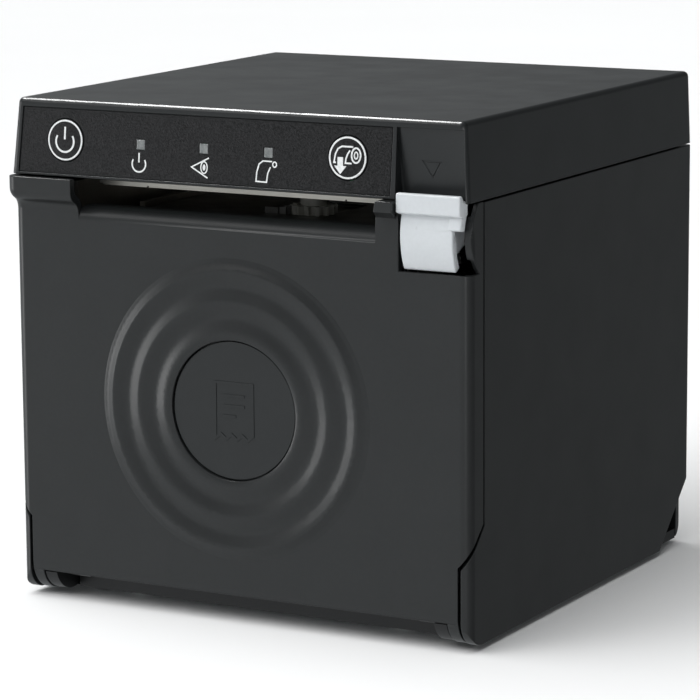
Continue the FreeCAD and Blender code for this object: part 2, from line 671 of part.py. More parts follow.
# ---------------------------------------------------------------- sheet-metal mechanism frame
def mechanism_frame():
    left = plate_x([(-57.5, 100.5), (-57.5, cover_z), (6, cover_z), (6, 98), (-2, 64), (-34, 64),
                    (-40.5, 80), (-40.5, 100.5)], -54.4, -53.4)
    right = plate_x([(-58, 102.2), (-58, cover_z), (6, cover_z), (6, 98), (-2, 97), (-30, 97),
                     (-36.8, 90), (-36.8, 102.2)], 42.9, 43.9)
    back = box(-54.4, 43.9, 2.0, 3.0, 97.4, cover_z)
    bridge = box(-54.4, 43.9, bridge_y, bridge_y + 1.0, 97.4, 101.0)
    body = join(left, right, back, bridge)
    body = body.cut(rod_x(-56, -52, pinion_y, pinion_z, 3.2))
    body = body.cut(rod_x(-56, -52, idler_y, idler_z, 1.5))
    body = body.cut(rod_x(40, 46, lever_y, lever_z, lever_pin_r))
    for dz in (-ear_reach, ear_reach):
        body = body.cut(rod_x(-56, -52, pinion_y, pinion_z + dz, 1.0))
    return body


def cutter_cover():
    """Sheet over the cutter. Its front edge turns down as the bright tear bar."""
    top = box(-46.5, 42.9, -57.4, 2.0, cover_z, cover_z + 0.8)
    flange = box(-45.5, 41.5, -57.4, -56.6, cover_z - 0.4, cover_z + 0.2)
    gaps = [box(x, x + 0.5, -58, -56, cover_z - 2, cover_z + 0.1) for x in (-31.8, 27.4)]
    left = box(-54.4, -46.4, -50, 2, cover_z, cover_z + 0.8)
    body = join(top, left, flange.cut(group(*gaps)))
    body = body.cut(rod_z(100, 120, 0, cutter_y, 4.2))
    return body.cut(group(*[rod_z(100, 120, x, -8, 1.35) for x in (-40.0, 36.0)]))


def cutter_base():
    plate = box(-44.5, 38.5, -41.8, 1.8, 101.2, 102.6)
    tabs = [box(-53.4, -44.4, -19, -4, 101.2, 102.6), box(38.4, 42.9, -19, -4, 101.2, 102.6)]
    rails = [box(x, x + 1.6, -38, 0, 102.5, 105.0) for x in (-46.4, 39.6)]
    body = join(plate, *tabs)
    axle = rod_z(102.5, drive_z + 4.4, 0, cutter_y, 1.5)
    links = [box(-46.4, -44.4, -38, 0, 101.2, 102.6), box(38.4, 41.2, -38, 0, 101.2, 102.6)]
    return join(body, axle, *links, *rails)


def print_head():
    face_y = platen_y + platen_r + nip_gap
    x0 = paper_x - paper_half - 1
    x1 = paper_x + paper_half + 1
    ceramic = box(x0, x1, face_y, face_y + 1.0, 84.0, 100.4)
    glaze = rod_x(x0 + 2, x1 - 2, face_y + 0.25, platen_z, 0.35).common(
        box(-60, 60, face_y - 0.15, face_y + 0.2, 80, 110))
    sink = box(x0 - 0.8, x1 + 0.8, face_y + 1.0, face_y + 4.2, 81.5, 100.6)
    fins = [box(x0 + 2, x1 - 2, face_y + 4.1, face_y + 5.6, z, z + 1.2) for z in (84, 87, 90)]
    eyes = [rod_x(x, x + 3, face_y + 3.2, 80.4, 2.4) for x in (x0 + 4, x1 - 7)]
    sink = join(sink, *fins, *eyes)
    sink = sink.cut(rod_x(-60, 60, face_y + 3.2, 80.4, 1.0 + run_gap))
    return join(ceramic, glaze), sink


head_pivot_y = platen_y + platen_r + nip_gap + 3.2
head_pivot_z = 80.4


def head_bracket():
    back_face = -32.0
    plate = box(-44.8, 38.8, back_face, back_face + 1.2, 83.0, 97.4)
    foot = box(-44.8, 38.8, back_face, bridge_y, 97.4, 98.6)
    hooks = []
    for x in (-46.4, 39.2):
        hook = plate_x([(back_face + 1.2, 98.6), (back_face + 1.2, 79), (head_pivot_y - 2.2, 77.6),
                        (head_pivot_y - 2.2, 82.6), (back_face, 88), (back_face, 98.6)], x, x + 1.0)
        hooks.append(hook.cut(rod_x(x - 1, x + 2, head_pivot_y, head_pivot_z, 1.0)))
    links = [box(-46.4, -44.7, back_face, back_face + 1.2, 88, 98.6),
             box(38.7, 40.2, back_face, back_face + 1.2, 88, 98.6)]
    body = join(plate, foot, *hooks, *links)
    cups = [rod_y(back_face - 1.6, back_face + 0.1, x, spring_z, 3.0).cut(
        rod_y(back_face - 3, back_face + 1.2, x, spring_z, 2.4)) for x in spring_x]
    return join(body, *cups).cut(group(*[rod_y(back_face - 3, back_face + 0.6, x, spring_z, 2.4)
                                         for x in spring_x]))


spring_x = (-30.0, -3.0, 24.0)
spring_z = 95.5


def head_pivot_rod():
    return rod_x(-46.4, 40.2, head_pivot_y, head_pivot_z, 1.0)


def head_springs():
    start_y = platen_y + platen_r + nip_gap + 4.2
    end_y = -32.0 + 0.2
    return group(*[coil(V(x, start_y + 0.85, spring_z), (0, 1, 0), 1.8, 0.35, 5,
                        end_y - start_y - 1.2) for x in spring_x])


# ---------------------------------------------------------------- cutter drive
def moving_blade():
    tip = -41.2
    blade = plate_z([(-43.5, tip), (-3.0, tip + 2.2), (37.5, tip), (37.5, -6), (-43.5, -6)],
                    blade_z, blade_z + 0.6)
    bevel = plate_x([(tip - 1, blade_z + 0.7), (tip - 1, blade_z + 0.15), (tip + 0.2, blade_z + 0.15),
                     (tip + 1.4, blade_z + 0.7)], -50, 50)
    window = box(-6.8, 7.8, -33.5, -9.0, blade_z - 1, blade_z + 5)
    blade = blade.cut(window)
    rack_r = cut_module * cut_pinion_teeth / 2
    root_x = -(rack_r + 1.15 * cut_module)
    tip_x = -(rack_r - 0.9 * cut_module)
    rack_pitch = math.pi * cut_module
    points = [(-10.5, -33.0), (root_x, -33.0)]
    for tooth in range(-3, 9):
        middle = cutter_y + (tooth + 0.5) * rack_pitch
        if middle < -32 or middle > -8:
            continue
        for x, share in ((root_x, -0.30), (tip_x, -0.12), (tip_x, 0.12), (root_x, 0.30)):
            points.append((x, middle + share * rack_pitch))
    points += [(root_x, -7.0), (-10.5, -7.0)]
    rack = plate_z(points, blade_z, blade_z + 2.2)
    return join(blade.cut(bevel), rack)


def cutter_gear():
    """Rack pinion below the cover, drive wheel above it, on one hub. A tooth faces -X."""
    bore = 1.5 + run_gap
    pinion = gear(cut_pinion_teeth, cut_module, bore, 2.4, math.pi)
    pinion.translate(V(0, cutter_y, blade_z))
    hub = rod_z(blade_z + 2.3, drive_z + 0.2, 0, cutter_y, 3.6).cut(
        rod_z(90, 130, 0, cutter_y, bore))
    wheel = gear(drive_wheel_teeth, drive_module, bore, 3.2, 0.0)
    wheel.translate(V(0, cutter_y, drive_z))
    return join(pinion, hub, wheel)


def cutter_pinion():
    phase = math.pi + math.pi / drive_pinion_teeth
    wheel = gear(drive_pinion_teeth, drive_module, 0, 3.6, phase)
    wheel.translate(V(drive_distance, cutter_y, drive_z - 0.2))
    return join(wheel, rod_z(drive_z + 3.0, drive_z + 9.6, drive_distance, cutter_y, 0.75))


def cutter_motor():
    can = rod_z(bracket_z + 1.0, bracket_z + 13.4, drive_distance, cutter_y, 8.0)
    can = can.makeFillet(0.8, [can.Edges[0], can.Edges[2]])
    flats = box(drive_distance - 6, drive_distance + 6, cutter_y - 9, cutter_y + 9, 110, 140)
    body = can.common(flats)
    return body.cut(rod_z(110, drive_z + 10.6, drive_distance, cutter_y, 0.75 + run_gap))


def motor_bracket():
    floor_z = cover_z + 0.8
    x0 = drive_distance - 8
    x1 = drive_distance + 12
    head_z = bracket_z + 1.0
    top = box(x0, x1, cutter_y - 10, cutter_y + 10, bracket_z, head_z)
    legs = [box(x1 - 1, x1, cutter_y - 10, cutter_y + 10, floor_z, head_z),
            box(x0, x0 + 1, cutter_y + 12.0, cutter_y + 13, floor_z, head_z)]
    reach = box(x0, x0 + 6, cutter_y + 9, cutter_y + 13, bracket_z, head_z)
    foot = box(x1 - 1, x1 + 5, cutter_y - 10, cutter_y + 10, floor_z, floor_z + 1)
    body = join(top, reach, foot, *legs)
    return body.cut(rod_z(110, 125, drive_distance, cutter_y, 3.0)).cut(
        rod_z(110, 125, 0, cutter_y, 2.5))


# ---------------------------------------------------------------- release lever
def sector(r_in, r_out, x0, x1, low, high):
    """A ring sector about the lever pivot, between two angles below (-) or above (+) level, front side."""
    ring = rod_x(x0, x1, lever_y, lever_z, r_out).cut(rod_x(x0 - 1, x1 + 1, lever_y, lever_z, r_in))
    reach = 2 * r_out
    points = [(lever_y, lever_z)]
    steps = 4
    for i in range(steps + 1):
        angle = math.radians(low + (high - low) * i / steps)
        points.append((lever_y - reach * math.cos(angle), lever_z + reach * math.sin(angle)))
    return ring.common(plate_x(points, x0 - 1, x1 + 1))


def apron_strip(x0, x1):
    """The lever's curved front. It is flatter than a circle about the pivot."""
    bow = 19.0
    thick = 2.3
    centre_y = lever_y - lever_out + bow
    low = math.radians(-27.6)
    high = math.radians(24.0)

    def at(r, angle):
        return V(x0, centre_y - r * math.cos(angle), lever_z + r * math.sin(angle))

    middle = (low + high) / 2
    edges = [Part.Arc(at(bow, low), at(bow, middle), at(bow, high)).toShape(),
             Part.LineSegment(at(bow, high), at(bow - thick, high)).toShape(),
             Part.Arc(at(bow - thick, high), at(bow - thick, middle),
                      at(bow - thick, low)).toShape(),
             Part.LineSegment(at(bow - thick, low), at(bow, low)).toShape()]
    return Part.Face(Part.Wire(edges)).extrude(V(x1 - x0, 0, 0))


def release_lever():
    apron = apron_strip(48.7, 63.4)
    limb = sector(lever_in + 0.2, lever_out + 0.6, 62.4, 65.9, 8.0, 29.0)
    limb = rounded(limb, 0.6, lambda b: b.XMin > 65.8 and b.ZLength > 1)
    front = lever_y - 15.8
    grip = plate_x([(front, 111.9), (front, 116.7), (front + 1.5, 116.9), (front + 2.4, 115.3),
                    (front + 4.6, 115.1), (front + 4.6, 111.6), (front + 1.2, 111.4)], 47.95, 65.9)
    grip = rounded(grip, 0.45, lambda b: along_x(b) and b.YMax < front + 0.1)
    body = join(apron, limb, grip)
    hub = rod_x(47.2, 64.0, lever_y, lever_z, 3.7)
    arms = [sector(2.5, lever_in + 0.4, x, x + 2.0, -24, 20) for x in (50.0, 60.4)]
    hook_x0, hook_x1 = 46.8, 49.6
    hook = plate_x([(lever_y - 1, lever_z - 3.2), (-45.5, 101.8), (-44.6, 99.4), (-41.4, 99.4),
                    (-41.2, 101.0), (-38.6, 103.6), (-39.4, 106.2), (lever_y, lever_z + 3.4)],
                   hook_x0, hook_x1)
    body = join(body, hub, hook, *arms)
    return body.cut(rod_x(44, 70, lever_y, lever_z, lever_pin_r + run_gap))


def lever_pin():
    shaft = rod_x(42.9, 64.4, lever_y, lever_z, lever_pin_r)
    clip = rod_x(64.1, 64.7, lever_y, lever_z, 3.2)
    collar = rod_x(43.9, 44.7, lever_y, lever_z, 3.2)
    return join(shaft, clip, collar)


def lever_spring():
    """Torsion spring round the pivot's collar end, with one leg on the frame's edge."""
    rings = [Part.makeTorus(2.9, 0.35, V(44.4 + 0.68 * i, lever_y, lever_z), V(1, 0, 0))
             for i in range(1, 4)]
    leg = rod_y(lever_y, lever_y + 9, 46.3, lever_z + 2.95, 0.3)
    return join(rings[0], *rings[1:], rod_x(45.0, 46.6, lever_y, lever_z + 2.9, 0.3), leg)


# ---------------------------------------------------------------- paper bay
def paper_bucket():
    x0, x1 = paper_x - 42.0, paper_x + 41.4
    thick = 1.5
    front = -43.0
    top = 96.0
    rear = roll_y + roll_r + thick

    def profile(r):
        start = (roll_y - math.sqrt(r * r - (roll_z - 22.0) ** 2), 22.0)
        bottom = (roll_y, roll_z - r)
        back = (roll_y + r, roll_z)
        curve = Part.Arc(V(0, *start), V(0, *bottom), V(0, *back)).toShape()
        return curve, start, back

    outer_curve, o_start, o_back = profile(roll_r + thick)
    inner_curve, i_start, i_back = profile(roll_r)
    line = Part.LineSegment
    edges = [outer_curve, line(V(0, *o_back), V(0, o_back[0], top)).toShape(),
             line(V(0, o_back[0], top), V(0, i_back[0], top)).toShape(),
             line(V(0, i_back[0], top), V(0, *i_back)).toShape(), inner_curve,
             line(V(0, *i_start), V(0, *o_start)).toShape()]
    trough = Part.Face(Part.Wire(Part.__sortEdges__(edges))).extrude(V(x1 - x0, 0, 0))
    trough.translate(V(x0, 0, 0))
    side = plate_x([(front, 22), (-34, 12), (-14, 7), (20, 7), (38, 22), (rear, 40), (rear, top),
                    (4.5, top), (4.5, 77), (-27, 77), (-27, 62), (front, 50)], 0, thick)
    walls = [side.translated(V(x0 - thick, 0, 0)), side.translated(V(x1, 0, 0))]
    legs = [box(x, x + 3, y, y + 8, 4.2, 9.6) for x in (x0 - thick, x1 - thick) for y in (-8, 10)]
    body = join(trough, *walls)
    body = join(body, *[leg.cut(rod_x(-60, 60, roll_y, roll_z, roll_r + 0.5)) for leg in legs])
    return body


def end_sensor():
    body = box(paper_x + 41.4 + 1.5, paper_x + 41.4 + 6.5, 10, 20, 18, 26)
    return body.cut(box(paper_x + 41.4 + 3, paper_x + 41.4 + 5, 12, 18, 24, 30))


# ---------------------------------------------------------------- electronics and rear ports
board_y = 57.0
panel_y = back_y - wall - 1.2


def main_board():
    board = box(-60, 60, board_y, board_y + 1.6, 7.0, 104.0)
    holes = [rod_y(board_y - 1, board_y + 3, x, z, 1.6) for x in (-56, 56) for z in (60, 99)]
    return board.cut(group(*holes))


def board_parts():
    parts = [box(-14, 6, board_y - 1.6, board_y, 62, 82), box(20, 32, board_y - 1.2, board_y, 66, 76),
             box(-44, -30, board_y - 4, board_y, 68, 80)]
    parts += [rod_y(board_y - 8, board_y, x, 90, 4.0) for x in (-50, -38)]
    parts += [box(x, x + 9, board_y - 5, board_y, 92, 98) for x in (16, 28, 40)]
    parts.append(rod_y(board_y - 7, board_y, 46, 74, 6.0))
    return group(*parts)


def port_box(x, z, w, h, opening_w, opening_h, deep, tongue=None):
    """A rectangular connector with its mouth at the back. tongue is an optional inner blade."""
    front = board_y + 1.6
    rear = back_y - 0.9
    body = box(x - w / 2, x + w / 2, front, rear, z, z + h)
    body = rounded(body, 0.5, lambda b: along_y(b))
    middle = z + h / 2
    body = body.cut(box(x - opening_w / 2, x + opening_w / 2, rear - deep, rear + 1,
                        middle - opening_h / 2, middle + opening_h / 2))
    if tongue:
        blade = box(x - tongue[0] / 2, x + tongue[0] / 2, rear - deep - 0.5, rear - 0.8,
                    middle - tongue[1] / 2, middle + tongue[1] / 2)
        body = join(body, blade)
    return body


def latch_port(x, z, w, h, opening_w, opening_h):
    """A modular jack: mouth with the latch notch below it."""
    body = port_box(x, z, w, h, opening_w, opening_h, 9.0)
    rear = back_y - 0.9
    notch = box(x - 3.0, x + 3.0, rear - 8.0, rear + 1, z + 1.2, z + h / 2)
    contacts = [box(x - 3.6 + 1.2 * i, x - 3.2 + 1.2 * i, rear - 8, rear - 2,
                    z + h / 2 + opening_h / 2 - 1.0, z + h / 2 + opening_h / 2 + 0.2)
                for i in range(7)]
    return join(body.cut(notch), *contacts)


def power_inlet():
    front = board_y + 1.6
    rear = back_y - 0.9
    x, z = -48.0, 24.0
    body = join(box(x - 7, x + 7, front, panel_y, z - 6.5, z + 7.5),
                rod_y(panel_y - 0.2, rear, x, z, 6.2))
    body = body.cut(rod_y(rear - 9, rear + 1, x, z, 4.6))
    core = rod_y(rear - 9.5, rear - 1.2, x, z, 3.1)
    for angle in (90, 210, 330):
        dx = 1.7 * math.cos(math.radians(angle))
        dz = 1.7 * math.sin(math.radians(angle))
        core = core.cut(rod_y(rear - 8, rear, x + dx, z + dz, 0.6))
    return join(body, core)


def serial_port():
    """Nine-pin socket: D-shaped shroud on a flange with two threaded posts."""
    front = board_y + 1.6
    rear = back_y - 0.9
    x, z = -3.0, 24.0
    flange = box(x - 15.4, x + 15.4, panel_y - 1.2, panel_y - 0.2, z - 6.2, z + 6.2)
    back_block = box(x - 9.5, x + 9.5, front, panel_y - 1.1, z - 5.4, z + 5.4)
    shroud = plate_y([(x - 8.6, z - 4.1), (x + 8.6, z - 4.1), (x + 9.4, z + 4.1),
                      (x - 9.4, z + 4.1)], panel_y - 0.3, rear)
    shroud = rounded(shroud, 1.6, lambda b: b.YLength > 1 and b.XLength < 0.3 and b.ZLength < 0.3)
    bore = plate_y([(x - 7.8, z - 3.4), (x + 7.8, z - 3.4), (x + 8.6, z + 3.4),
                    (x - 8.6, z + 3.4)], panel_y - 1.5, rear + 1)
    body = join(flange, back_block, shroud).cut(bore)
    pins = [rod_y(panel_y - 2.0, rear - 1.0, x - 5.5 + 2.75 * i, z + 1.4, 0.5) for i in range(5)]
    pins += [rod_y(panel_y - 2.0, rear - 1.0, x - 4.1 + 2.75 * i, z - 1.4, 0.5) for i in range(4)]
    posts = [rod_y(panel_y - 0.3, rear - 0.3, x + s * 12.5, z, 2.4).cut(
        rod_y(panel_y + 0.5, rear + 1, x + s * 12.5, z, 1.4)) for s in (-1, 1)]
    return join(body, *pins, *posts)


def interface_panel():
    panel = box(-60, 60, panel_y, panel_y + 1.0, 9.0, 53.0)
    holes = [box(-41.2 + 2.0, -27.0 + 2.0, 0, 100, 17.8, 32.2),
             box(14.8, 28.2, 0, 100, 17.8, 30.2), box(35.2, 52.8, 0, 100, 17.8, 32.7),
             rod_y(0, 100, -48, 24, 6.4), box(-13.0, 7.0, 0, 100, 19.4, 28.6)]
    holes += [rod_y(0, 100, -3.0 + s * 12.5, 24, 2.7) for s in (-1, 1)]
    holes += [rod_y(0, 100, x, 44, 1.6) for x in (-54, 54)]
    return panel.cut(group(*holes))


def panel_screws():
    return group(*[screw(x, panel_y + 1.0, 44, (0, -1, 0), head_r=2.4, head_h=1.4, length=6.0)
                   for x in (-54, 54)])


def ribbon_cable():
    """Flat flexible cable from the print head's bracket, over the roll bay, to the main board."""
    run = box(-18, 12, -27.6, board_y - 0.4, 96.3, 96.6)
    end = box(-18, 12, board_y - 0.7, board_y - 0.1, 88.5, 96.6)
    return join(run, end)


def cover_switch():
    body = box(45.0, 50.0, -34.0, -26.0, 84.0, 92.0)
    arm = box(46.5, 48.5, -36.6, -33.9, 90.0, 90.5)
    bracket = box(43.9, 45.1, -30.0, -26.0, 84.0, 98.5)
    return join(body, arm, bracket)


# ---------------------------------------------------------------- fasteners
def base_screws():
    return group(*[screw(x, y, 3.0, (0, 0, 1), head_r=2.4, head_h=1.3, length=5.0)
                   for x, y in base_screw_places()])


def door_screws():
    back = door_y + 6.0
    cover = [screw(x, back, z, (0, -1, 0), head_r=2.3, head_h=1.3, shank_r=1.1, length=3.6)
             for x, z in door_screw_places()]
    blade = [screw(x, -54.5, 102.5, (0, 0, -1), head_r=2.1, head_h=1.3, shank_r=1.2, length=2.0)
             for x in (-38.0, 32.0)]
    return group(*(cover + blade))


def frame_screws():
    floor_z = cover_z + 0.8
    cover = [screw(x, -8, floor_z, (0, 0, -1), head_r=2.2, head_h=1.3, length=5.0)
             for x in (-40.0, 36.0)]
    motor = [screw(-55.4, pinion_y, pinion_z + dz, (1, 0, 0), head_r=2.0, head_h=1.3,
                   shank_r=1.0, length=2.4) for dz in (-ear_reach, ear_reach)]
    return group(*(cover + motor))


def hinge_pins():
    return group(*both_sides(rod_x(50.0, 63.6, hinge_y, hinge_z, hinge_pin_r)))


def idler_axle():
    return join(rod_x(-54.4, -47.7, idler_y, idler_z, 1.5),
                rod_x(-48.2, -47.7, idler_y, idler_z, 2.3))


def build():
    os.makedirs("parts", exist_ok=True)
    front_feet, rear_feet = feet()
    shaft, rubber, platen_wheel = platen_group()
    ceramic, heat_sink = print_head()
    parts = {
        "body_shell": body_shell(), "base_plate": base_plate(),
        "front_feet": front_feet, "rear_feet": rear_feet,
        "top_cover": top_cover(), "control_label": control_label(),
        "lamp_lenses": lamp_lenses(), "power_button": button(power_x),
        "feed_button": button(feed_x), "control_board": control_board(),
        "key_switches": switches(), "status_lamps": lamps(),
        "door_cover": door_cover(), "door_disc": door_disc(),
        "door_inner_frame": door_inner_frame(), "platen_bracket": platen_bracket(),
        "latch_pin": latch_pin(), "platen_bushes": platen_bushes(),
        "fixed_blade": fixed_blade(), "exit_guide": exit_guide(),
        "door_screws": door_screws(),
        "hinge_pins": hinge_pins(),
        "platen_shaft": shaft, "platen_rubber": rubber, "platen_gear": platen_wheel,
        "idler_gear": idler_gear(), "idler_axle": idler_axle(),
        "motor_pinion": motor_pinion(), "feed_motor": feed_motor(),
        "mechanism_frame": mechanism_frame(), "cutter_cover": cutter_cover(),
        "cutter_base": cutter_base(), "moving_blade": moving_blade(),
        "cutter_gear": cutter_gear(), "cutter_pinion": cutter_pinion(),
        "cutter_motor": cutter_motor(), "motor_bracket": motor_bracket(),
        "head_ceramic": ceramic, "head_heat_sink": heat_sink,
        "head_bracket": head_bracket(), "head_pivot_rod": head_pivot_rod(),
        "head_springs": head_springs(),
        "release_lever": release_lever(), "lever_pin": lever_pin(),
        "lever_spring": lever_spring(),
        "paper_bucket": paper_bucket(), "paper_end_sensor": end_sensor(),
        "main_board": main_board(), "board_parts": board_parts(),
        "interface_panel": interface_panel(), "power_inlet": power_inlet(),
        "drawer_port": latch_port(-32.1, 18.0, 13.2, 13.0, 9.8, 7.0),
        "serial_port": serial_port(),
        "usb_port": port_box(21.5, 18.0, 12.0, 11.0, 8.6, 7.8, 9.0, (5.6, 3.2)),
        "network_port": latch_port(44.0, 18.0, 16.4, 13.6, 11.8, 8.0),
        "ribbon_cable": ribbon_cable(), "cover_switch": cover_switch(),
        "base_screws": base_screws(),
        "frame_screws": frame_screws(),
        "panel_screws": panel_screws(),
    }
    for name, shape in parts.items():
        save(name, shape)
    print(len(parts), "nodes")


build()
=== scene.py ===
import json
import math

import bmesh
import bpy
from mathutils import Matrix, Vector


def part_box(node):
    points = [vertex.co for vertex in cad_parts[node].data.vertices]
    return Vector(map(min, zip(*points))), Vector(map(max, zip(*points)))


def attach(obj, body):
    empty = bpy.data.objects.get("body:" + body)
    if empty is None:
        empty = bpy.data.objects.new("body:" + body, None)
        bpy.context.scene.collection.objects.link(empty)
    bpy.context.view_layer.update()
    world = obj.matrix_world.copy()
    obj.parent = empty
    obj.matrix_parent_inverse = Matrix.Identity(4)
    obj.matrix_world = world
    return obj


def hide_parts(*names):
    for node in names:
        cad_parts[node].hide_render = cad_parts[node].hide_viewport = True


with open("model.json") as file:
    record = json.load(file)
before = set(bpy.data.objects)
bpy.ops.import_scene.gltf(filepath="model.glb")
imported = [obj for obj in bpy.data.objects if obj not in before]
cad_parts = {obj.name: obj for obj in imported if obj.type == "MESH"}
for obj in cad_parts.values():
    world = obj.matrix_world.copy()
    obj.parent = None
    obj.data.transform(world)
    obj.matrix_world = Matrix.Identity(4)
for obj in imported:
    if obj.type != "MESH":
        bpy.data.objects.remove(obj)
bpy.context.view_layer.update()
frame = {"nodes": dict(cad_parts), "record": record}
nodes = frame["nodes"]
MM = 0.001

# ShaderNodeMix carries sockets for every type it can mix. These are the colour ones.
MIX_FIRST, MIX_SECOND, MIX_RESULT = 6, 7, 2

# The cover's sloping front: its foot, and how far it leans back. In metres and radians.
COVER_FOOT = Vector((0, -0.0677, 0.1149))
COVER_LEAN = math.atan(1.45 / 20.1)
FILM_FACE = 0.30        # mm that the label's face lies behind the cover's front
CAP_FACE = 0.15         # the same for the two round keys
FOOT = 0.08             # mm from the top of an ink line to its foot, sunk in the face

# Places on the cover's front in mm: along it from the middle, and up it from its foot.
POWER_X, FEED_X, KEY_UP = -50.8, 33.4, 9.6
LAMP_X = (-27.7, -8.7, 10.4)

# The round keys, in mm.
KEY_RADIUS = 5.5
KEY_RING_RADIUS = 5.1   # of the white line printed round the symbol
KEY_DOME = 0.25         # how far the middle of the film stands above its rim
KEY_SKIRT = 0.2         # how far the film's edge goes down behind the key's face

EMBLEM_RISE = 0.16      # mm that the emblem stands above the door's disc


# ---------------------------------------------------------------- materials
class Surface:
    """A procedural material: a Principled shader and the nodes that feed it."""

    def __init__(self, name, **sockets):
        self.material = bpy.data.materials.new(name)
        self.material.use_nodes = True
        self.tree = self.material.node_tree
        self.shader = self.tree.nodes["Principled BSDF"]
        for socket, value in sockets.items():
            self.shader.inputs[socket.replace("_", " ")].default_value = value
        self.place = self.add("ShaderNodeTexCoord").outputs["Object"]

    def add(self, kind, settings=None, **inputs):
        node = self.tree.nodes.new(kind)
        for key, value in (settings or {}).items():
            setattr(node, key, value)
        for key, value in inputs.items():
            socket = node.inputs[key.replace("_", " ")]
            if isinstance(value, bpy.types.NodeSocket):
                self.tree.links.new(value, socket)
            else:
                socket.default_value = value
        return node

    def feed(self, socket, output):
        self.tree.links.new(output, self.shader.inputs[socket])

    def stretched(self, x, y, z):
        """The object's coordinates in metres, scaled along each axis."""
        return self.add("ShaderNodeMapping", Vector=self.place, Scale=(x, y, z)).outputs["Vector"]

    def noise(self, size_mm, detail=2.0):
        """Soft noise with features of about size_mm."""
        return self.add("ShaderNodeTexNoise", Vector=self.place, Scale=1000.0 / size_mm,
                        Detail=detail).outputs["Fac"]

    def spread(self, value, low, high):
        """Map 0.3 to 0.7, the span of most noise, to low to high."""
        node = self.add("ShaderNodeMapRange", Value=value)
        for key, number in (("From Min", 0.3), ("From Max", 0.7),
                            ("To Min", low), ("To Max", high)):
            node.inputs[key].default_value = number
        return node.outputs["Result"]

    def blend(self, factor, first, second):
        """Mix two colours, each a value or another node's output."""
        node = self.add("ShaderNodeMix", {"data_type": "RGBA"})
        self.tree.links.new(factor, node.inputs["Factor"])
        for index, colour in ((MIX_FIRST, first), (MIX_SECOND, second)):
            socket = node.inputs[index]
            if isinstance(colour, bpy.types.NodeSocket):
                self.tree.links.new(colour, socket)
            else:
                socket.default_value = (*colour, 1.0)
        return node.outputs[MIX_RESULT]

    def bump(self, height, depth_mm):
        node = self.add("ShaderNodeBump", Height=height, Distance=depth_mm * MM, Strength=1.0)
        self.feed("Normal", node.outputs["Normal"])


def moulded(name, colour, roughness, grain_mm=0.3, depth_mm=0.006, mottle=0.12, **sockets):
    """Injection-moulded plastic: spark-eroded grain, faint mottling and slow gloss changes."""
    s = Surface(name, **sockets)
    dark = tuple(c * (1 - mottle) for c in colour)
    light = tuple(c * (1 + mottle) for c in colour)
    fine_share, cloud_share = 0.55, 0.45
    cloud = s.spread(s.noise(9.0, 3.0), 0.0, cloud_share)
    both = s.add("ShaderNodeMath", {"operation": "MULTIPLY_ADD"})
    s.tree.links.new(s.spread(s.noise(0.9, 2.0), 0.0, 1.0), both.inputs[0])
    both.inputs[1].default_value = fine_share
    s.tree.links.new(cloud, both.inputs[2])
    s.feed("Base Color", s.blend(both.outputs[0], dark, light))
    s.feed("Roughness", s.spread(s.noise(14.0, 4.0), roughness - 0.03, roughness + 0.03))
    s.bump(s.noise(grain_mm, 2.0), depth_mm)
    return s.material


def steel(name, colour, roughness, along=(60, 2500, 2500), depth_mm=0.004):
    """Sheet or turned metal, brushed along the axis with the smallest number in along.
    Three equal numbers give an even grain instead."""
    s = Surface(name, Metallic=1.0)
    brushed = s.add("ShaderNodeTexNoise", Vector=s.stretched(*along), Scale=1.0,
                    Detail=3.0).outputs["Fac"]
    dark = tuple(c * 0.82 for c in colour)
    s.feed("Base Color", s.blend(s.spread(brushed, 0.0, 1.0), dark, colour))
    s.feed("Roughness", s.spread(s.noise(6.0, 4.0), roughness - 0.06, roughness + 0.08))
    s.bump(brushed, depth_mm)
    return s.material


def rubber(name, colour, roughness=0.75, grain_mm=0.25):
    """Matt rubber with a faint uneven bloom."""
    s = Surface(name, Specular_IOR_Level=0.35)
    dusty = s.spread(s.noise(5.0, 5.0), 0.0, 1.0)
    s.feed("Base Color", s.blend(dusty, colour, tuple(c * 1.5 + 0.004 for c in colour)))
    s.feed("Roughness", s.spread(s.noise(3.0, 3.0), roughness - 0.06, roughness + 0.06))
    s.bump(s.noise(grain_mm, 2.0), 0.02)
    return s.material


def circuit_board(name):
    """Green solder mask with paler tracks under it."""
    s = Surface(name, Roughness=0.35, Coat_Weight=0.4)
    tracks = s.add("ShaderNodeTexBrick", {"offset": 0.37}, Vector=s.stretched(260, 260, 210),
                   Scale=1.0)
    tracks.inputs["Color1"].default_value = (0.010, 0.085, 0.035, 1)
    tracks.inputs["Color2"].default_value = (0.013, 0.100, 0.042, 1)
    tracks.inputs["Mortar"].default_value = (0.030, 0.175, 0.080, 1)
    tracks.inputs["Mortar Size"].default_value = 0.035
    s.feed("Base Color", tracks.outputs["Color"])
    s.bump(tracks.outputs["Fac"], 0.02)
    return s.material


def label_film(name):
    """Near-black polyester label with a coarse, faintly sparkling texture."""
    s = Surface(name, Specular_IOR_Level=0.2)
    cells = s.add("ShaderNodeTexVoronoi", Vector=s.place, Scale=2600.0).outputs["Distance"]
    s.feed("Base Color", s.blend(s.spread(s.noise(0.5, 3.0), 0.0, 1.0),
                                 (0.001, 0.001, 0.0012), (0.017, 0.017, 0.018)))
    s.feed("Roughness", s.spread(s.noise(0.5, 2.0), 0.30, 0.50))
    s.bump(cells, 0.06)
    return s.material


def printed_ink(name):
    """Off-white screen-printed ink, a little uneven in its coverage."""
    s = Surface(name)
    s.feed("Base Color", s.blend(s.spread(s.noise(0.6, 3.0), 0.0, 1.0),
                                 (0.62, 0.64, 0.64), (0.78, 0.79, 0.79)))
    s.feed("Roughness", s.spread(s.noise(1.0, 2.0), 0.45, 0.6))
    return s.material


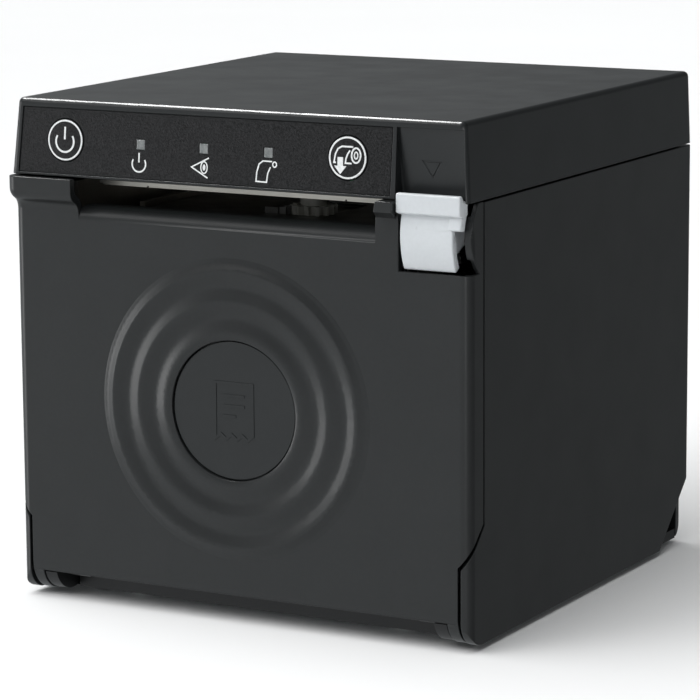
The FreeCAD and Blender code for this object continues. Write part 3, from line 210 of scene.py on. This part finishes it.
def clear_lens(name):
    """Smoky grey plastic of an unlit lamp."""
    s = Surface(name, Coat_Weight=0.4, Coat_Roughness=0.1)
    s.feed("Base Color", s.blend(s.spread(s.noise(1.2, 3.0), 0.0, 1.0),
                                 (0.10, 0.11, 0.11), (0.20, 0.21, 0.21)))
    s.feed("Roughness", s.spread(s.noise(2.0), 0.2, 0.3))
    return s.material


LOOKS = {
    "case_plastic": moulded("case_plastic", (0.0120, 0.0130, 0.0134), 0.33,
                            Specular_IOR_Level=0.32),
    "cover_plastic": moulded("cover_plastic", (0.0115, 0.0128, 0.0134), 0.31,
                             Specular_IOR_Level=0.32),
    "black_plastic": moulded("black_plastic", (0.005, 0.005, 0.0055), 0.42,
                             Specular_IOR_Level=0.3),
    "label_film": label_film("label_film"),
    "lamp_plastic": clear_lens("lamp_plastic"),
    "lever_plastic": moulded("lever_plastic", (0.56, 0.585, 0.605), 0.30,
                             mottle=0.03, depth_mm=0.004),
    "pale_plastic": moulded("pale_plastic", (0.50, 0.49, 0.44), 0.45, mottle=0.05),
    "foot_rubber": rubber("foot_rubber", (0.012, 0.012, 0.013)),
    "roller_rubber": rubber("roller_rubber", (0.016, 0.016, 0.018), 0.6),
    "sheet_steel": steel("sheet_steel", (0.34, 0.325, 0.295), 0.36),
    "blade_steel": steel("blade_steel", (0.14, 0.138, 0.132), 0.38, (2500, 60, 2500)),
    "shaft_steel": steel("shaft_steel", (0.52, 0.52, 0.51), 0.25),
    "screw_steel": steel("screw_steel", (0.46, 0.46, 0.45), 0.3, (900, 900, 900)),
    "motor_steel": steel("motor_steel", (0.40, 0.40, 0.40), 0.35, (900, 900, 120)),
    "sink_aluminium": steel("sink_aluminium", (0.66, 0.66, 0.66), 0.38),
    "head_ceramic": moulded("head_ceramic", (0.55, 0.53, 0.47), 0.3,
                            mottle=0.04, depth_mm=0.003),
    "board_laminate": circuit_board("board_laminate"),
    "chip_plastic": moulded("chip_plastic", (0.012, 0.012, 0.014), 0.55),
    "port_plastic": moulded("port_plastic", (0.012, 0.012, 0.013), 0.45),
    "port_steel": steel("port_steel", (0.56, 0.56, 0.54), 0.3, (900, 900, 900)),
    "cable_film": moulded("cable_film", (0.42, 0.45, 0.49), 0.4, mottle=0.04),
    "brass": steel("brass", (0.66, 0.47, 0.22), 0.3, (900, 900, 900)),
}
INK = printed_ink("printed_ink")
SLOT_OF = {item["node"]: item["material_slot"] for item in frame["record"]["subparts"]}

for node, slot in SLOT_OF.items():
    mesh = nodes[node].data
    mesh.materials.clear()
    mesh.materials.append(LOOKS[slot])


# ---------------------------------------------------------------- pieces
def piece(name, shape, body, material):
    """Turn a bmesh into an object that rides on a body, and free the bmesh."""
    bmesh.ops.recalc_face_normals(shape, faces=shape.faces)
    mesh = bpy.data.meshes.new(name)
    shape.to_mesh(mesh)
    shape.free()
    mesh.materials.append(material)
    obj = bpy.data.objects.new(name, mesh)
    bpy.context.scene.collection.objects.link(obj)
    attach(obj, body)
    return obj


def soften(obj, angle):
    """Smooth shading that breaks at edges sharper than angle."""
    for face in obj.data.polygons:
        face.use_smooth = True
    obj.data.set_sharp_from_angle(angle=math.radians(angle))
    weighted = obj.modifiers.new("weighted", "WEIGHTED_NORMAL")
    weighted.keep_sharp = True
    weighted.weight = 90


def eased(node, body, radius_mm, segments=3, angle=40):
    """The CAD node again with its sharp outer edges rounded, as a mould leaves them.
    Inner corners stay as they are: rounding them adds material towards moving neighbours."""
    shape = bmesh.new()
    shape.from_mesh(nodes[node].data)
    bmesh.ops.remove_doubles(shape, verts=shape.verts, dist=0.003 * MM)
    bmesh.ops.dissolve_limit(shape, angle_limit=math.radians(0.5), verts=shape.verts,
                             edges=shape.edges)
    sharp = [edge for edge in shape.edges if edge.is_manifold and edge.is_convex
             and edge.calc_face_angle(0) > math.radians(angle)]
    bmesh.ops.bevel(shape, geom=sharp, offset=radius_mm * MM, segments=segments, profile=0.5,
                    affect="EDGES", clamp_overlap=False)
    obj = piece(node + "_eased", shape, body, LOOKS[SLOT_OF[node]])
    soften(obj, 60)
    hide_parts(node)


# ---------------------------------------------------------------- printed symbols
def on_cover(x, up, depth):
    """A point of the cover's sloping front, from mm along it, up it and into it."""
    sin, cos = math.sin(COVER_LEAN), math.cos(COVER_LEAN)
    return COVER_FOOT + Vector((x, up * sin + depth * cos, up * cos - depth * sin)) * MM


def arc(x, up, radius, start, end, steps=40):
    """Points round an arc, in degrees from the right, anticlockwise."""
    angles = [math.radians(start + (end - start) * i / steps) for i in range(steps + 1)]
    return [(x + radius * math.cos(a), up + radius * math.sin(a)) for a in angles]


def stroke_sides(points, width, closed):
    """The two edges of a line of that width, mitred at its corners."""
    count = len(points)
    left, right = [], []
    for i, (x, up) in enumerate(points):
        before = Vector(points[i - 1]) if closed or i else None
        after = Vector(points[(i + 1) % count]) if closed or i < count - 1 else None
        here = Vector((x, up))
        way_in = (here - before).normalized() if before is not None else (after - here).normalized()
        way_out = (after - here).normalized() if after is not None else way_in
        along = (way_in + way_out).normalized()
        side = Vector((-along.y, along.x)) * (width / 2 / max(0.5, along.dot(way_in)))
        left.append(here + side)
        right.append(here - side)
    return left, right


def add_stroke(shape, points, width, depth, closed=False, place=on_cover):
    """A raised line along points. depth(x, up) is where its top lies.
    Its foot is sunk in the face below."""
    left, right = stroke_sides(points, width, closed)
    rows = []
    for a, b in zip(left, right):
        rows.append([shape.verts.new(place(p.x, p.y, depth(p.x, p.y) + sink))
                     for p, sink in ((a, 0), (b, 0), (b, FOOT), (a, FOOT))])
    pairs = list(zip(rows, rows[1:]))
    if closed:
        pairs.append((rows[-1], rows[0]))
    else:
        shape.faces.new(rows[0])
        shape.faces.new(rows[-1])
    for one, two in pairs:
        for i in range(4):
            j = (i + 1) % 4
            shape.faces.new((one[i], one[j], two[j], two[i]))


def add_patch(shape, corners, depth):
    """A filled area of ink."""
    top = [shape.verts.new(on_cover(x, up, depth(x, up))) for x, up in corners]
    low = [shape.verts.new(on_cover(x, up, depth(x, up) + FOOT)) for x, up in corners]
    shape.faces.new(top)
    shape.faces.new(low)
    for i in range(len(corners)):
        j = (i + 1) % len(corners)
        shape.faces.new((top[i], top[j], low[j], low[i]))


def power_symbol(shape, x, up, size, width, depth):
    """A ring open at the top with an upright stroke in the opening."""
    opening = 114
    add_stroke(shape, arc(x, up, size, 90 + opening / 2, 450 - opening / 2), width, depth)
    add_stroke(shape, [(x, up + 0.2 * size), (x, up + 1.4 * size)], width, depth)


def ellipse(x, up, across, high, steps=32):
    """Points round an ellipse of those two radii."""
    return [(x + across * math.cos(a), up + high * math.sin(a))
            for a in (2 * math.pi * i / steps for i in range(steps))]


def key_depth(x):
    """How deep the domed film of the key at x lies at each of its points."""
    film = 0.04

    def depth(px, up):
        out = min(1.0, math.hypot(px - x, up - KEY_UP) / KEY_RADIUS)
        return CAP_FACE - film - KEY_DOME * (1 - out * out)
    return depth


def key_film(name, x, body):
    """The domed film of a round key."""
    shape = bmesh.new()
    depth = key_depth(x)
    around = 72
    rings = []
    for radius in (KEY_RADIUS, 4.6, 3.7, 2.8, 1.9, 1.0):
        rings.append([shape.verts.new(on_cover(px, up, depth(px, up)))
                      for px, up in ellipse(x, KEY_UP, radius, radius, around)])
    skirt = [shape.verts.new(on_cover(px, up, CAP_FACE + KEY_SKIRT))
             for px, up in ellipse(x, KEY_UP, KEY_RADIUS, KEY_RADIUS, around)]
    for one, two in zip([skirt] + rings, rings):
        for i in range(around):
            j = (i + 1) % around
            shape.faces.new((one[i], one[j], two[j], two[i]))
    shape.faces.new(rings[-1])
    shape.faces.new(skirt)
    obj = piece(name + "_film", shape, body, LOOKS["label_film"])
    soften(obj, 40)


def key_face(name, x, draw, body):
    """The printed face of a round key: film, a white ring and its symbol."""
    key_film(name, x, body)
    ink = bmesh.new()
    face = key_depth(x)
    ink_rise = 0.03

    def depth(px, up):
        return face(px, up) - ink_rise

    ring = ellipse(x, KEY_UP, KEY_RING_RADIUS, KEY_RING_RADIUS, 144)
    add_stroke(ink, ring, 0.45, depth, closed=True)
    draw(ink, depth)
    piece(name + "_symbol", ink, body, INK)


def power_key(ink, depth):
    """The power symbol of the left key."""
    power_symbol(ink, POWER_X, KEY_UP - 0.35, 2.75, 0.52, depth)


def feed_key(ink, depth):
    """The right key's symbol: a paper roll with its free end and an arrow down."""
    x, up = FEED_X, KEY_UP
    add_stroke(ink, ellipse(x + 2.5, up + 0.7, 1.25, 1.85), 0.42, depth, closed=True)
    add_stroke(ink, ellipse(x + 2.5, up + 0.7, 0.48, 0.85, 24), 0.34, depth, closed=True)
    paper_outside = [(x + 1.6, up + 2.8), (x - 1.6, up + 2.8), (x - 2.7, up + 2.2),
                     (x - 3.4, up + 0.9), (x - 3.8, up - 1.3), (x - 3.2, up - 1.3)]
    paper_inside = [(x + 0.75, up + 1.9), (x + 0.1, up + 0.9), (x - 0.35, up - 0.3),
                    (x - 0.45, up - 1.35), (x + 1.3, up - 1.35)]
    arrow = [(x - 2.75, up + 0.1), (x - 1.15, up + 0.1), (x - 1.15, up - 2.1), (x - 0.15, up - 2.1),
             (x - 1.95, up - 4.2), (x - 3.75, up - 2.1), (x - 2.75, up - 2.1)]
    add_stroke(ink, paper_outside, 0.42, depth)
    add_stroke(ink, paper_inside, 0.42, depth)
    add_patch(ink, arrow, depth)


def lamp_symbols():
    """Power, fault and paper symbols under the three lamps."""
    ink = bmesh.new()
    ink_rise = 0.05

    def depth(px, up):
        return FILM_FACE - ink_rise

    power_symbol(ink, LAMP_X[0] - 0.4, 4.6, 2.05, 0.40, depth)
    x, up = LAMP_X[1] - 0.9, 4.75
    add_stroke(ink, [(x + 2.55, up + 2.55), (x - 2.6, up), (x + 2.25, up - 2.6)], 0.36, depth)
    add_stroke(ink, ellipse(x + 1.15, up + 0.05, 0.95, 1.5), 0.32, depth, closed=True)
    add_patch(ink, ellipse(x + 1.15, up + 0.05, 0.42, 0.8, 20), depth)
    x = LAMP_X[2]
    sheet = [(x + 0.75, 6.0), (x, 4.4), (x - 0.3, 2.1), (x - 3.4, 2.2), (x - 3.2, 4.6),
             (x - 2.6, 6.6), (x - 1.5, 7.45), (x + 1.2, 7.45)]
    add_stroke(ink, sheet, 0.36, depth)
    add_stroke(ink, ellipse(x + 1.95, 6.7, 0.55, 0.65, 24), 0.34, depth, closed=True)
    piece("lamp_symbols", ink, "case", INK)


def disc_emblem():
    """A plain raised receipt in the middle of the door's disc: torn edge, three lines of print."""
    low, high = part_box("door_disc")
    x, z, face = (low[0] + high[0]) / 2, (low[2] + high[2]) / 2, low[1]
    shape = bmesh.new()

    def place(px, up, depth):
        return Vector((x + px * MM, face + depth * MM, z + up * MM))

    def top(px, up):
        return -EMBLEM_RISE

    half_width, head, teeth, tooth = 5.6, 7.2, 8, 1.3
    torn = [(half_width - 1.6 * i, -7.6 + (0.0 if i % 2 else tooth)) for i in range(teeth)]
    outline = [(-half_width, head), (half_width, head)] + torn
    add_stroke(shape, outline, 0.75, top, closed=True, place=place)
    margin = -3.2
    for up, half in ((3.9, 3.2), (1.2, 3.2), (-1.5, 1.9)):
        add_stroke(shape, [(margin, up), (margin + 2 * half, up)], 0.7, top, place=place)
    piece("disc_emblem", shape, "front_door", LOOKS["cover_plastic"])


eased("top_cover", "case", 0.18)
eased("door_cover", "front_door", 0.22)
eased("release_lever", "lever", 0.45)
eased("body_shell", "case", 0.18)
key_face("power_key", POWER_X, power_key, "power_button")
key_face("feed_key", FEED_X, feed_key, "feed_button")
lamp_symbols()
disc_emblem()


# ---------------------------------------------------------------- studio
def floor():
    """A white ground plane that gloss doesn't mirror."""
    mesh = bpy.data.meshes.new("studio_floor")
    half = 6.0
    mesh.from_pydata([(-half, -half, 0), (half, -half, 0), (half, half, 0), (-half, half, 0)], [],
                     [(0, 1, 2, 3)])
    plane = bpy.data.objects.new("studio_floor", mesh)
    bpy.context.scene.collection.objects.link(plane)
    s = Surface("studio_floor", Roughness=0.9, Specular_IOR_Level=0.1)
    s.feed("Base Color", s.blend(s.spread(s.noise(400.0, 3.0), 0, 1),
                                 (0.90, 0.90, 0.90), (0.92, 0.92, 0.92)))
    mesh.materials.append(s.material)
    plane.visible_glossy = False


def softbox(name, direction, distance, width, height, radiance, glossy_only=False):
    """A rectangular light at that direction and distance from the printer, facing it.
    Its power follows from how bright it looks, so that moving it keeps its look."""
    aim = Vector((0, 0, 0.07))
    light = bpy.data.lights.new(name, "AREA")
    light.shape = "RECTANGLE"
    light.size = width
    light.size_y = height
    light.energy = radiance * math.pi * width * height
    box = bpy.data.objects.new(name, light)
    away = Vector(direction).normalized()
    box.location = aim + away * distance
    box.rotation_euler = (-away).to_track_quat("-Z", "Y").to_euler()
    box.visible_diffuse = not glossy_only
    bpy.context.scene.collection.objects.link(box)


def overhead(strength, angle):
    """A very wide soft light from above that whitens the whole floor evenly."""
    light = bpy.data.lights.new("overhead", "SUN")
    light.energy = strength
    light.angle = math.radians(angle)
    lamp = bpy.data.objects.new("overhead", light)
    lamp.rotation_euler = Vector((0.35, 0.35, -1.0)).to_track_quat("-Z", "Y").to_euler()
    lamp.visible_glossy = False
    bpy.context.scene.collection.objects.link(lamp)


def surroundings():
    """A world that is bright low down in front and to the left, and dark overhead and behind."""
    world = bpy.data.worlds.new("studio")
    bpy.context.scene.world = world
    world.use_nodes = True
    tree = world.node_tree
    direction = tree.nodes.new("ShaderNodeTexCoord").outputs["Generated"]

    def fade(towards, start, end, dark, bright):
        facing = tree.nodes.new("ShaderNodeVectorMath")
        facing.operation = "DOT_PRODUCT"
        tree.links.new(direction, facing.inputs[0])
        facing.inputs[1].default_value = towards
        ramp = tree.nodes.new("ShaderNodeMapRange")
        tree.links.new(facing.outputs["Value"], ramp.inputs["Value"])
        for key, number in (("From Min", start), ("From Max", end),
                            ("To Min", dark), ("To Max", bright)):
            ramp.inputs[key].default_value = number
        return ramp.outputs["Result"]

    both = tree.nodes.new("ShaderNodeMath")
    both.operation = "MULTIPLY"
    tree.links.new(fade((-0.50, -0.87, 0.0), -0.9, 0.9, 0.22, 1.15), both.inputs[0])
    tree.links.new(fade((0.0, 0.0, -1.0), -0.30, 0.10, 0.35, 1.0), both.inputs[1])
    background = tree.nodes["Background"]
    background.inputs["Color"].default_value = (0.94, 0.98, 1, 1)
    tree.links.new(both.outputs[0], background.inputs["Strength"])


def studio():
    """Product lighting: even light from above, and softboxes for the highlights."""
    floor()
    overhead(strength=3.0, angle=80)
    surroundings()
    softbox("strip_above", (-0.475, 0.10, 0.870), distance=1.5, width=0.6, height=0.30,
            radiance=70.0, glossy_only=True)
    softbox("left", (-0.86, -0.48, -0.04), distance=1.6, width=0.5, height=0.7,
            radiance=5.0, glossy_only=True)
    softbox("right", (0.62, -0.80, 0.02), distance=1.8, width=0.25, height=0.8,
            radiance=9.0, glossy_only=True)
    softbox("key", (-0.55, -0.75, 0.75), distance=1.5, width=0.6, height=0.6, radiance=2.5)
    bpy.context.scene.view_settings.view_transform = "Standard"


def camera():
    """A long lens at the front right, a little above the printer."""
    place = Vector((0.44462, -0.81246, 0.23277))
    azimuth = math.radians(28.861)
    height_angle = math.radians(10.4535)
    roll = math.radians(-0.3848)
    back = Vector((math.sin(azimuth) * math.cos(height_angle),
                   -math.cos(azimuth) * math.cos(height_angle),
                   math.sin(height_angle)))
    right = Vector((math.cos(azimuth), math.sin(azimuth), 0))
    up = back.cross(right)
    turned_right = math.cos(roll) * right + math.sin(roll) * up
    turned_up = -math.sin(roll) * right + math.cos(roll) * up
    data = bpy.data.cameras.new("camera")
    data.sensor_width = 36
    data.lens = 176.53
    data.clip_start = 0.05
    data.clip_end = 40
    view = bpy.data.objects.new("camera", data)
    axes = Matrix((turned_right, turned_up, back)).transposed().to_4x4()
    view.matrix_world = Matrix.Translation(place) @ axes
    bpy.context.scene.collection.objects.link(view)
    bpy.context.scene.camera = view


studio()
camera()
